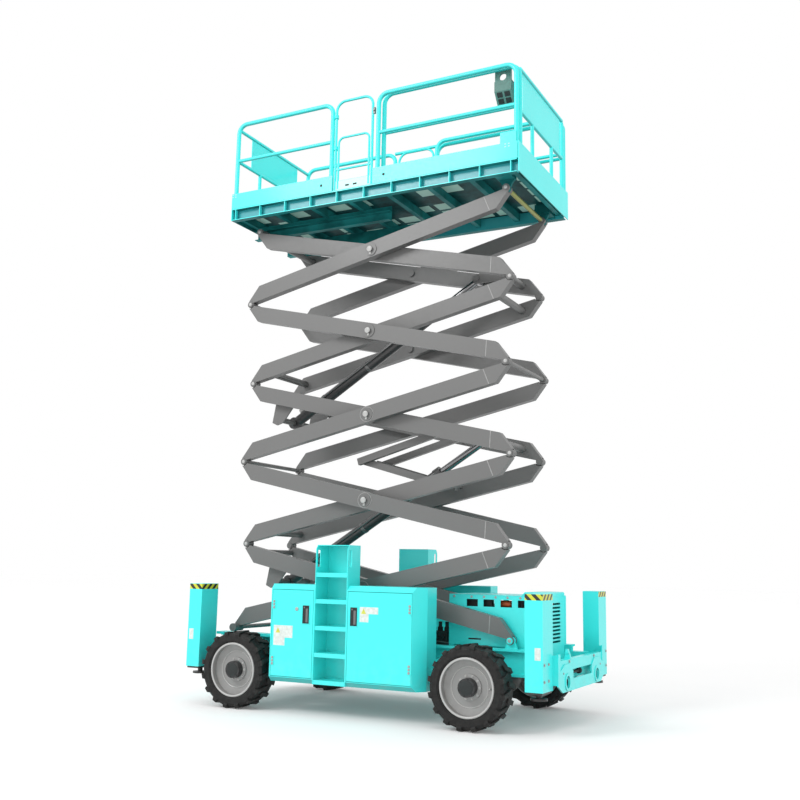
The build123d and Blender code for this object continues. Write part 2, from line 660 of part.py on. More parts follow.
# Engine pod on the centreline ahead of the cabinets: windows in the sides, louvres in the end
def pod():
    x0, x1 = POD_X
    z0, z1 = POD_Z
    wall = POD_WALL
    case = box(x0, x1, -POD_Y, POD_Y, z0, z1)
    case = case - box(x0 + wall, x1 - wall, -POD_Y + wall, POD_Y - wall, z0 + wall, z1 + 1)
    for i in range(WINDOWS):
        x = x0 + 270 + WINDOW_PITCH * i
        case = case - box(x - 65, x + 65, -POD_Y - 1, POD_Y + 1, z1 - 118, z1 - 42)
    pitch = (z1 - z0 - 90) / LOUVRES
    for i in range(LOUVRES):
        z = z0 + 40 + i * pitch
        case = case - box(x1 - wall - 1, x1 + 1, 130 - POD_Y, POD_Y - 200, z, z + pitch * 0.55)
    parts = [box(x1 - wall, x1, -300, 300, RAIL_Z[0] + 60, z0 + 4)]
    for y in (-POD_Y, POD_Y - 60):
        parts.append(box(X_FRONT + 57, X_FRONT + 157, y, y + 60, RAIL_Z[1] - 30, z0 + 4))
        parts.append(box(x0, x0 + 60, y, y + 60, RAIL_Z[0] + 12, z0 + 4))
    return join(case, *parts)


# Lid with its hinge barrels on the far edge and a raised hood over the engine's air intake
def pod_lid():
    z = POD_Z[1] + 0.5
    axis = (POD_Y - 8, z + HINGE_R)
    x0, x1 = POD_X[0] + 2, POD_X[1] - 2
    body = box(x0, x1, -POD_Y + 2, axis[0], z, z + 6)
    hood = [(x1 - 258, z + 5), (x1 - 218, z + 45), (x1 - 12, z + 45), (x1, z + 33), (x1, z + 5)]
    body = body + plate(hood, 50 - POD_Y, POD_Y - 50)
    body = body - box(x1 - 205, x1 - 12, 58 - POD_Y, POD_Y - 58, z - 1, z + 37)
    for x in (x0 + 160, x1 - 260):
        body = body + rod_x(axis[0], axis[1], HINGE_R, x, x + 100)
    return body


def engine():
    z0, z1 = POD_Z[0] + POD_WALL, POD_Z[1] - 110
    return box(POD_X[0] + 120, POD_X[1] - 260, 110 - POD_Y, POD_Y - 110, z0, z1)


save(pod(), "engine_pod")
save(pod_lid(), "pod_lid")
save(engine(), "engine")


# Platform frame: ribbed side channels, cross members, floor, tongues and slide tracks
def platform_frame():
    x0, x1 = PLAT_X
    low, high = CHAN_Z
    web = PLAT_Y - 76
    under = high - MEMBER_H
    side = [box(x0, x1 - 30, web, PLAT_Y, high - 8, high), box(x0, x1 - 30, web, PLAT_Y, low, low + 8)]
    side.append(box(x0, x1 - 30, web, web + 10, low, high))
    for i in range(11):
        x = x0 + 60 + i * (x1 - x0 - 160) / 10
        side.append(box(x - 4, x + 4, web + 6, PLAT_Y - 3, low + 4, high - 4))
    for i in range(8):
        x = x0 + 40 + i * (x1 - x0 - 140) / 7
        side.append(box(x - 30, x + 30, -1, web + 8, under, high))
    side.append(box(x0 + 60, 60, 336, 344, TOP_PIN - ROLLER_R - 10, under + 10))
    for z in (TOP_PIN - ROLLER_R - 10, TOP_PIN + ROLLER_R + 6):
        side.append(box(x0 + 60, 60, 340, INNER_Y[0] - 8, z, z + 8))
    hanger = tongue(X_FRONT, TOP_PIN, low + 30 - TOP_PIN, *OUTER_Y)
    side.append(hanger - rod_y(X_FRONT, TOP_PIN, PIN_R + FIT, *OUTER_Y))
    side.append(box(X_FRONT - 95, X_FRONT + 95, OUTER_Y[0] + 15, web + 8, low + 20, high))
    half = side[0].fuse(*side[1:])
    floor = box(x0, x1 - 30, -PLAT_Y + 4, PLAT_Y - 4, high - 1, FLOOR_Z)
    end = box(x0, x0 + 8, -PLAT_Y, PLAT_Y, low, FLOOR_Z)
    return join(half, far(half), floor, end)


save(platform_frame(), "platform_frame")

# Toe boards along the floor's edges, open at the gate, each with a raised end at the front
def toe_boards():
    x0, x1 = PLAT_X[0], PLAT_X[1] - 18
    inside = PLAT_Y - TOE_T
    step = box(x1 - 203, x1 - 17, inside, PLAT_Y, TOE_Z - 1, TOE_Z + STEP_UP)
    whole = box(x0, x1, inside, PLAT_Y, FLOOR_Z, TOE_Z)
    rear = box(x0, GATE_X[0], -PLAT_Y, -inside, FLOOR_Z, TOE_Z)
    front = box(GATE_X[1], x1, -PLAT_Y, -inside, FLOOR_Z, TOE_Z)
    end = box(x0, x0 + TOE_T, 1 - inside, inside - 1, FLOOR_Z, TOE_Z)
    return [(whole + step).solid(), rear.solid(), (front + far(step)).solid(), end.solid()]


# Guard rails: hoops on both sides with the gate between them, sheet guard at the rear end
RAIL_Y = PLAT_Y - TUBE_R - 10
HINGE_X = GATE_X[0] + 20


def platform_rails():
    y = RAIL_Y
    zr = RAIL_TOP - TUBE_R
    x0 = PLAT_X[0] + TUBE_R + 10
    spans = ((x0, GATE_X[0] - 33), (GATE_X[1] + 50, PLAT_X[1] - 42))
    pieces = []
    for xa, xb in spans:
        for yy in (-y, y):
            pieces.append(hoop(xa, xb, yy, FLOOR_Z, zr, TUBE_R))
            pieces.append(bar((xa, yy, MID_Z), (xb, yy, MID_Z), MID_R))
            for x in (xa, xb):
                pieces.append(box(x - TUBE_R, x + TUBE_R, yy - TUBE_R, yy + TUBE_R, FLOOR_Z, FLOOR_Z + 10))
    for z in (MID_Z, zr - 60):
        pieces.append(bar((x0, -y, z), (x0, y, z), MID_R))
    for yy in (-330, 330):
        pieces.append(bar((x0, yy, FLOOR_Z), (x0, yy, MID_Z), MID_R))
    pieces.append(box(x0 - 3, x0 + 3, GUARD_INSET - y, y - GUARD_INSET, MID_Z - 10, zr - 60))
    for z in (MID_Z - 115, MID_Z + 285):
        loop = rod_z(HINGE_X, -y, GATE_R + 10, z, z + 44)
        loop = loop + box(GATE_X[0] - 20, HINGE_X, -y - 8, -y + 8, z + 8, z + 36)
        pieces.append(loop - rod_z(HINGE_X, -y, GATE_R + FIT, z - 5, z + 50))
    xa, xb = spans[0][1], spans[1][0]
    for z in (MID_Z, zr):
        pieces.append(bar((xa, y, z), (xb, y, z), MID_R))
    pieces.append(hoop(xa + 60, xb - 60, y, FLOOR_Z, zr - 12, GATE_R))
    return Compound([*join(pieces[0], *pieces[1:]).solids(), *toe_boards()])


save(platform_rails(), "platform_rails")


# Entry gate: outer hoop, lower inner loop, cross bar and its own toe board
def gate():
    xa, xb = HINGE_X, GATE_X[1] - 30
    low = FLOOR_Z + 8
    pieces = [hoop(xa, xb, -RAIL_Y, low, RAIL_TOP - GATE_R, GATE_R)]
    pieces.append(hoop(xa + 40, xb - 40, -RAIL_Y, low + 20, MID_Z + 30, GATE_R - 3, 70))
    pieces.append(bar((xa, -RAIL_Y, low + 260), (xb, -RAIL_Y, low + 260), GATE_R - 3))
    pieces.append(box(xa - 10, xb + 10, -RAIL_Y - 5, -RAIL_Y + 5, low, low + 120))
    return join(pieces[0], *pieces[1:])


save(gate(), "gate")

# Extension deck nested on the floor, with its own rails, front plate and front guard
EXT_Y = PLAT_Y - DECK_SIDE
EXT_RAIL_Y = EXT_Y - TUBE_R
EXT_TOP = RAIL_TOP - TUBE_R + DECK_RAIL_UP
EXT_MID = MID_Z + DECK_RAIL_UP
GUARD_Z = (MID_Z - GUARD_DROP, EXT_TOP - 50)


def extension():
    x0, x1 = DECK_X, PLAT_X[1]
    deck_z = FLOOR_Z + 12
    pieces = [box(x0, x1 - 6, -EXT_Y, EXT_Y, deck_z, deck_z + DECK_T)]
    pieces.append(box(x1 - 10, x1, -PLAT_Y, PLAT_Y, CHAN_Z[0], TOE_Z))
    front = x1 - TUBE_R - 8
    for s in (-1, 1):
        yy = s * EXT_RAIL_Y
        for x in (x0 + 120, (x0 + x1) / 2, x1 - 240):
            pieces.append(box(x - 40, x + 40, yy - 50, yy, FLOOR_Z + 0.6, deck_z + 2))
        pieces.append(hoop(x0 + 30, front, yy, deck_z + 20, EXT_TOP, TUBE_R))
        pieces.append(bar((x0 + 30, yy, EXT_MID), (front, yy, EXT_MID), MID_R))
        pieces.append(bar((front, s * 330, deck_z + 20), (front, s * 330, GUARD_Z[0]), MID_R))
    for z in GUARD_Z:
        pieces.append(bar((front, -EXT_RAIL_Y, z), (front, EXT_RAIL_Y, z), MID_R))
    pieces.append(box(front - 3, front + 3, 90 - EXT_RAIL_Y, EXT_RAIL_Y - 90, GUARD_Z[0], GUARD_Z[1] + 25))
    return join(pieces[0], *pieces[1:])


save(extension(), "extension_deck")


# Control box: a case with a sloped face under a plate with a hand hole, hung over the extension's near rail
def control_box():
    x0, x1 = PLAT_X[1] - 352, PLAT_X[1] - 150
    y = -EXT_RAIL_Y
    rail = EXT_TOP + TUBE_R
    inner = y + TUBE_R + 4
    top, lip, low = rail - 152, rail - 272, rail - 395
    outline = [(inner, top), (inner, lip), (inner + 100, low), (inner + 145, low), (inner + 145, top)]
    case = section(outline, x0, x1)
    case = case + box(x0 + 8, x1, inner, inner + 24, top - 2, rail + 6)
    case = case - rod_y((x0 + x1) / 2, top + 44, 42, y, y + 200)
    hook = box(x0 + 15, x0 + 65, y - TUBE_R, inner + 6, rail + 0.6, rail + 6)
    return join(case, hook, Pos(x1 - x0 - 80, 0, 0) * hook)


save(control_box(), "control_box")


# Stabilizer legs: square inner tubes with a foot, drawn up clear of the ground
def leg(span, side):
    gap = BOX_WALL + 0.8
    mx = sum(span) / 2
    my = sum(BOX_Y) / 2
    low = BOX_Z[0] - 20
    post = box(span[0] + gap, span[1] - gap, BOX_Y[0] + gap, BOX_Y[1] - gap, low, BOX_Z[1] - 150)
    one = join(post, rod_z(mx, my, 28, low - 48, low + 2), rod_z(mx, my, 84, low - 66, low - 44))
    return far(one) if side < 0 else one


for place, span in (("front", BOX_FRONT), ("rear", BOX_REAR)):
    for name, side in (("near", -1), ("far", 1)):
        save(leg(span, side), f"stabilizer_{place}_{name}")
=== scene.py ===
import math

import bmesh
import bpy
from mathutils import Matrix, Vector


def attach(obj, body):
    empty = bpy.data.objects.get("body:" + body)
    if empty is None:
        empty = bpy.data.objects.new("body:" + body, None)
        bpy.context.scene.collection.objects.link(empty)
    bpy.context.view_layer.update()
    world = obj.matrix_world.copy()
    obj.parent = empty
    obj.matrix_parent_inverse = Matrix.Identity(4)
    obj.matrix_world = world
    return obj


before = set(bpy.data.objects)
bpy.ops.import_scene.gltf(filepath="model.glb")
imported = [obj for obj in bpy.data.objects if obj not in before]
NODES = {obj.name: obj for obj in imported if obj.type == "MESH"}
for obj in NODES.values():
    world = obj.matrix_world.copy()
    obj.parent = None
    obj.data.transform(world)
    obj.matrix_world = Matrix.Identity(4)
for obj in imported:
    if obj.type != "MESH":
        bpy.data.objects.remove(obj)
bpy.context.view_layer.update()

# Metres in the part's own frame; the design numbers sit SHIFT ahead of it
SHIFT = -0.0565
WHEEL_X = 1.42
WHEEL_Z = 0.419
X_FRONT = 1.643
Z_BASE = 0.848
ARM_L = 3.526
PIN_OFF = 0.1025
REST = math.radians(16.13)
TILT = REST - math.asin(2 * PIN_OFF / ARM_L)
BODY_L = math.sqrt(ARM_L ** 2 - (2 * PIN_OFF) ** 2)
RISE = ARM_L * math.sin(REST)
X_REAR = X_FRONT - ARM_L * math.cos(REST)
STAGES = 5
OUTER_FACE = 0.645
INNER_FACE = 0.52
CAB_FACE = 1.12
BOX_FACE = 1.1
BOX_FRONT = (2.022, 2.205)
BOX_REAR = (-2.092, -1.915)
PLAT_Y = 0.8485
RAIL_Y = 0.8115
DECK_RAIL_Y = 0.7265
DECK_RAIL_TOP = 7.142
BOX_X = (1.525, 1.727)
POD_FACE = 0.38
LATCH_Z = (0.96, 1.152)
LABEL_T = 0.0015
HINGE_BOLT_Z = (1.185, 1.153, 1.121, 0.584, 0.552, 0.52)
NUTS = 10
NUT_RING = 0.112
RIM_FACE = 1.1205
DISH_FACE = 1.052
SEAM_AT = 0.255
RING_R = (0.0795, 0.088)
UNDERSIDE_Z = 5.966
NEAR_FAR = (("near", -1), ("far", 1))


# Node helpers
class Graph:
    def __init__(self, name):
        self.mat = bpy.data.materials.new(name)
        self.mat.use_nodes = True
        self.tree = self.mat.node_tree
        self.tree.nodes.clear()
        self.out = self.tree.nodes.new("ShaderNodeOutputMaterial")
        self.shader = self.tree.nodes.new("ShaderNodeBsdfPrincipled")
        self.link(self.shader.outputs[0], self.out.inputs[0])
        coords = self.tree.nodes.new("ShaderNodeTexCoord")
        self.pos = coords.outputs["Object"]

    def link(self, a, b):
        self.tree.links.new(a, b)

    def feed(self, socket, value):
        if isinstance(value, bpy.types.NodeSocket):
            self.link(value, socket)
        else:
            socket.default_value = value

    def math(self, op, a, b=0.0, clamp=False):
        n = self.tree.nodes.new("ShaderNodeMath")
        n.operation = op
        n.use_clamp = clamp
        self.feed(n.inputs[0], a)
        self.feed(n.inputs[1], b)
        return n.outputs[0]

    def noise(self, scale, detail=3.0, rough=0.55, where=None):
        n = self.tree.nodes.new("ShaderNodeTexNoise")
        n.inputs["Scale"].default_value = scale
        n.inputs["Detail"].default_value = detail
        n.inputs["Roughness"].default_value = rough
        self.link(where or self.pos, n.inputs["Vector"])
        return n.outputs["Fac"]

    def split(self, where=None):
        n = self.tree.nodes.new("ShaderNodeSeparateXYZ")
        self.link(where or self.pos, n.inputs[0])
        return n.outputs

    def ramp(self, value, low, high, a=0.0, b=1.0):
        n = self.tree.nodes.new("ShaderNodeMapRange")
        n.clamp = True
        self.feed(n.inputs["Value"], value)
        n.inputs["From Min"].default_value = low
        n.inputs["From Max"].default_value = high
        n.inputs["To Min"].default_value = a
        n.inputs["To Max"].default_value = b
        return n.outputs[0]

    def mix(self, factor, a, b):
        n = self.tree.nodes.new("ShaderNodeMix")
        n.data_type = "RGBA"
        self.feed(n.inputs[0], factor)
        for socket, value in ((n.inputs[6], a), (n.inputs[7], b)):
            if isinstance(value, bpy.types.NodeSocket):
                self.link(value, socket)
            else:
                socket.default_value = (*value, 1.0)
        return n.outputs[2]

    def normal(self):
        n = self.tree.nodes.new("ShaderNodeNewGeometry")
        return self.split(n.outputs["Normal"])

    def bump(self, height, strength, distance):
        n = self.tree.nodes.new("ShaderNodeBump")
        n.inputs["Strength"].default_value = strength
        n.inputs["Distance"].default_value = distance
        self.link(height, n.inputs["Height"])
        self.link(n.outputs[0], self.shader.inputs["Normal"])

    def set(self, **values):
        for key, value in values.items():
            self.feed(self.shader.inputs[key.replace("_", " ")], value)

    def base(self):
        return self.shader.inputs["Base Color"].links[0].from_socket


def shade(color, k):
    return tuple(c * k for c in color)


# Enamel paint: slow tint drift, fine mottling, dust low down, painted shade on faces turned to the ground
def enamel(name, color, rough=0.36, underside_shade=0.42, dust=0.0, coat=0.25):
    g = Graph(name)
    drift = g.ramp(g.noise(1.3, 2.0), 0.3, 0.7)
    base = g.mix(drift, shade(color, 0.95), color)
    specks = g.ramp(g.noise(160.0, 2.0), 0.62, 0.75, 0.0, 0.18)
    base = g.mix(specks, base, shade(color, 0.82))
    # painted shade: faces turned to the ground get a darker copy of the colour
    low = g.ramp(g.normal()[2], -0.85, -0.3, 1.0, 0.0)
    base = g.mix(low, base, shade(color, underside_shade))
    if dust:
        height = g.ramp(g.split()[2], 0.25, 0.85, dust, 0.0)
        patch = g.math("MULTIPLY", height, g.ramp(g.noise(9.0, 5.0), 0.4, 0.68))
        base = g.mix(patch, base, (0.32, 0.28, 0.22))
    g.set(Base_Color=base)
    g.set(Roughness=g.ramp(g.noise(34.0, 3.0), 0.3, 0.7, rough - 0.05, rough + 0.08))
    g.shader.inputs["Coat Weight"].default_value = coat
    g.shader.inputs["Coat Roughness"].default_value = 0.12
    g.bump(g.noise(420.0, 2.0), 0.04, 0.0008)
    return g


CYAN = (0.05, 0.88, 0.86)
GREY = (0.155, 0.155, 0.153)

cyan = enamel("cyan_enamel", CYAN).mat
# cyan_low: the same paint with darker painted shade on its downward faces, and dust low down
cyan_low = enamel("cyan_enamel_low", CYAN, underside_shade=0.3, dust=0.12).mat
grey = enamel("grey_enamel", GREY, rough=0.42, underside_shade=0.6, coat=0.1).mat
black = enamel("black_enamel", (0.018, 0.018, 0.019), rough=0.4, underside_shade=0.7, dust=0.2, coat=0.1).mat
barrel_black = enamel("cylinder_enamel", (0.05, 0.05, 0.051), rough=0.35, underside_shade=0.6, coat=0.2).mat


# Hazard bands run round the outside of the stabilizer housings just under their tops
def chassis_paint():
    g = enamel("chassis_enamel", CYAN, underside_shade=0.3, dust=0.15)
    x, y, z = g.split()
    band = g.math("MULTIPLY", g.ramp(z, 1.287, 1.289), g.ramp(z, 1.346, 1.348, 1.0, 0.0))
    outward = g.math("MULTIPLY", g.normal()[1], g.math("SIGN", y))
    band = g.math("MULTIPLY", band, g.ramp(outward, -0.6, -0.5))
    run = g.math("ADD", g.math("SUBTRACT", x, y), z)
    wave = g.math("FRACT", g.math("MULTIPLY", run, 10.5))
    stripe = g.ramp(wave, 0.49, 0.51)
    paint = g.mix(stripe, (0.012, 0.012, 0.012), (0.6, 0.62, 0.03))
    g.set(Base_Color=g.mix(band, g.base(), paint))
    return g.mat


# Platform: painted shade on the webs and the underside, a lighter painted shade on the lower beams, and
# painted light of the open mesh seen between the beams
def platform_paint():
    g = enamel("platform_enamel_and_painted_shade", CYAN, underside_shade=1.0)
    x, y, z = g.split()
    side = g.math("ABSOLUTE", y)
    below = g.ramp(z, UNDERSIDE_Z, UNDERSIDE_Z + 0.001, 1.0, 0.0)
    # painted shade: webs and inner faces below the deck take a mid teal
    painted_web_shade = g.math("MULTIPLY", g.ramp(side, 0.8, 0.81, 1.0, 0.0), below)
    base = g.mix(painted_web_shade, g.base(), (0.03, 0.36, 0.4))
    # painted shade: faces turned down and faces inside the frame below the deck go near-black teal, varied
    # by noise
    down = g.ramp(g.normal()[2], -0.8, -0.5, 1.0, 0.0)
    within = g.math("MULTIPLY", g.ramp(side, 0.771, 0.772, 1.0, 0.0), below)
    dark = g.math("MAXIMUM", down, within)
    painted_underside_shade = g.mix(g.ramp(g.noise(5.0, 4.0), 0.4, 0.65), (0.003, 0.035, 0.037), (0.007, 0.08, 0.083))
    # painted shade, lighter: the undersides of the lower beams take a lighter teal than the rest of the
    # underside, in noisy patches
    patchy_beam_shade = g.ramp(g.noise(3.0, 3.0), 0.35, 0.6, 0.35, 1.0)
    lighter_beam_shade = g.math("MULTIPLY", g.ramp(z, 5.962, 5.963, 1.0, 0.0), patchy_beam_shade)
    painted_underside_shade = g.mix(lighter_beam_shade, painted_underside_shade, (0.016, 0.2, 0.2))
    base = g.mix(dark, base, painted_underside_shade)
    # painted light: pale cells on the deck underside stand for light seen through the open mesh
    cell_x = g.math("MULTIPLY", x, 3.3)
    cell_y = g.math("MULTIPLY", y, 4.1)
    spot = g.tree.nodes.new("ShaderNodeCombineXYZ")
    g.link(g.math("FLOOR", cell_x), spot.inputs[0])
    g.link(g.math("FLOOR", cell_y), spot.inputs[1])
    chance = g.tree.nodes.new("ShaderNodeTexWhiteNoise")
    g.link(spot.outputs[0], chance.inputs["Vector"])
    lit = g.ramp(chance.outputs["Value"], 0.5, 0.51)
    for cell in (cell_x, cell_y):
        lit = g.math("MULTIPLY", lit, g.ramp(g.math("FRACT", cell), 0.2, 0.22))
    lit = g.math("MULTIPLY", lit, g.math("MULTIPLY", down, g.ramp(z, 5.9655, 5.966)))
    base = g.mix(g.math("MULTIPLY", lit, 0.85), base, (0.5, 0.8, 0.7))
    g.set(Base_Color=base)
    g.set(Specular_IOR_Level=g.ramp(dark, 0.0, 1.0, 0.5, 0.06))
    g.set(Coat_Weight=g.ramp(dark, 0.0, 1.0, 0.25, 0.0))
    return g.mat


# Wheel coordinates: distance from the axle of whichever wheel the point belongs to
def wheel_radius(g):
    x, y, z = g.split()
    along = g.math("SUBTRACT", g.math("ABSOLUTE", g.math("SUBTRACT", x, SHIFT)), WHEEL_X)
    up = g.math("SUBTRACT", z, WHEEL_Z)
    return g.math("SQRT", g.math("ADD", g.math("MULTIPLY", along, along), g.math("MULTIPLY", up, up)))


def rim_paint():
    g = enamel("rim_enamel", (0.3, 0.3, 0.295), rough=0.42, underside_shade=0.9, coat=0.15)
    r = wheel_radius(g)
    hub = g.ramp(r, 0.0935, 0.0945, 1.0, 0.0)
    # darker brownish patches towards the outer edge of the dish
    outer_dish_darkening = g.math("MULTIPLY", g.ramp(r, 0.2, 0.29), g.ramp(g.noise(14.0, 5.0), 0.42, 0.66, 0.0, 0.5))
    base = g.mix(outer_dish_darkening, g.base(), (0.2, 0.19, 0.17))
    g.set(Base_Color=g.mix(hub, base, (0.02, 0.02, 0.021)))
    return g.mat


def tyre_rubber():
    g = Graph("tyre_rubber")
    r = wheel_radius(g)
    base = g.mix(g.ramp(g.noise(22.0, 4.0), 0.35, 0.7), (0.008, 0.008, 0.008), (0.017, 0.0165, 0.0155))
    rub = g.math("MULTIPLY", g.ramp(r, 0.398, 0.416), g.ramp(g.noise(40.0, 4.0), 0.4, 0.7, 0.1, 0.7))
    base = g.mix(rub, base, (0.045, 0.043, 0.039))
    g.set(Base_Color=base, Roughness=g.ramp(g.noise(60.0, 3.0), 0.3, 0.7, 0.55, 0.75))
    g.shader.inputs["Specular IOR Level"].default_value = 0.35
    rings = g.math("SINE", g.math("MULTIPLY", r, 900.0))
    side = g.ramp(r, 0.375, 0.385, 0.5, 0.0)
    g.bump(g.math("ADD", g.math("MULTIPLY", rings, side), g.noise(240.0, 3.0)), 0.18, 0.0012)
    return g.mat


def chrome_rod():
    g = Graph("rod_chrome")
    g.set(Base_Color=g.mix(g.noise(18.0), (0.2, 0.2, 0.205), (0.3, 0.3, 0.305)))
    g.shader.inputs["Metallic"].default_value = 1.0
    g.set(Roughness=g.ramp(g.noise(70.0, 3.0), 0.3, 0.7, 0.12, 0.24))
    return g.mat


def zinc(name="zinc", color=(0.5, 0.5, 0.49)):
    g = Graph(name)
    g.set(Base_Color=g.mix(g.noise(55.0, 3.0), shade(color, 0.75), color))
    g.shader.inputs["Metallic"].default_value = 0.6
    g.set(Roughness=g.ramp(g.noise(90.0, 3.0), 0.3, 0.7, 0.3, 0.5))
    return g.mat


def plastic(name, color, rough=0.5):
    g = Graph(name)
    g.set(Base_Color=g.mix(g.ramp(g.noise(30.0, 3.0), 0.35, 0.7), shade(color, 0.8), color))
    g.set(Roughness=g.ramp(g.noise(200.0, 2.0), 0.3, 0.7, rough - 0.06, rough + 0.1))
    g.bump(g.noise(900.0, 2.0), 0.1, 0.0004)
    return g.mat


chassis_mat = chassis_paint()
platform_mat = platform_paint()
rim_mat = rim_paint()
tyre_mat = tyre_rubber()
rod_mat = chrome_rod()
zinc_mat = zinc()
dark_zinc = zinc("dark_zinc", (0.2, 0.2, 0.2))
box_mat = plastic("control_plastic", (0.11, 0.24, 0.21))
rubber_mat = plastic("hose_rubber", (0.02, 0.02, 0.021), 0.55)
label_mat = plastic("blank_label", (0.78, 0.84, 0.8), 0.4)
mark_mat = plastic("blank_mark", (0.7, 0.72, 0.1), 0.4)
# near-black: the colour of black parts, and painted shade where it stands for holes, slots and latch
# recesses
black_and_shade_mat = plastic("black_and_painted_shade", (0.015, 0.02, 0.02), 0.6)
orange_mat = plastic("filter_orange", (0.5, 0.09, 0.02), 0.5)
pale_cyan = enamel("pale_cyan_enamel", (0.42, 0.86, 0.82)).mat
engine_mat = enamel("engine_enamel", (0.05, 0.05, 0.05), rough=0.5).mat
shaft_mat = zinc("zinc_yellow", (0.3, 0.32, 0.1))
seam_mat = plastic("seam_paint", (0.34, 0.34, 0.335), 0.45)
pin_mat = plastic("pin_steel", (0.5, 0.5, 0.49), 0.35)
# rim lip: lighter grey than the rim, a painted highlight
rim_lip_highlight_mat = enamel("rim_lip_painted_highlight", (0.48, 0.48, 0.47), rough=0.3, underside_shade=0.9).mat

for name, node in NODES.items():
    if "arms" in name or name.startswith("hose_link"):
        mat = grey
    elif name.startswith("tyre"):
        mat = tyre_mat
    elif name.startswith("rim"):
        mat = rim_mat
    elif name == "chassis":
        mat = chassis_mat
    elif "barrel" in name:
        mat = barrel_black
    elif "cylinder_rod" in name:
        mat = rod_mat
    elif name in ("axles", "knuckle_near", "knuckle_far") or name.startswith("stabilizer"):
        mat = black
    elif name == "engine":
        mat = engine_mat
    elif name == "control_box":
        mat = box_mat
    elif name == "platform_frame":
        mat = platform_mat
    elif name in ("platform_rails", "extension_deck", "gate"):
        mat = cyan
    else:
        mat = cyan_low
    node.data.materials.clear()
    node.data.materials.append(mat)


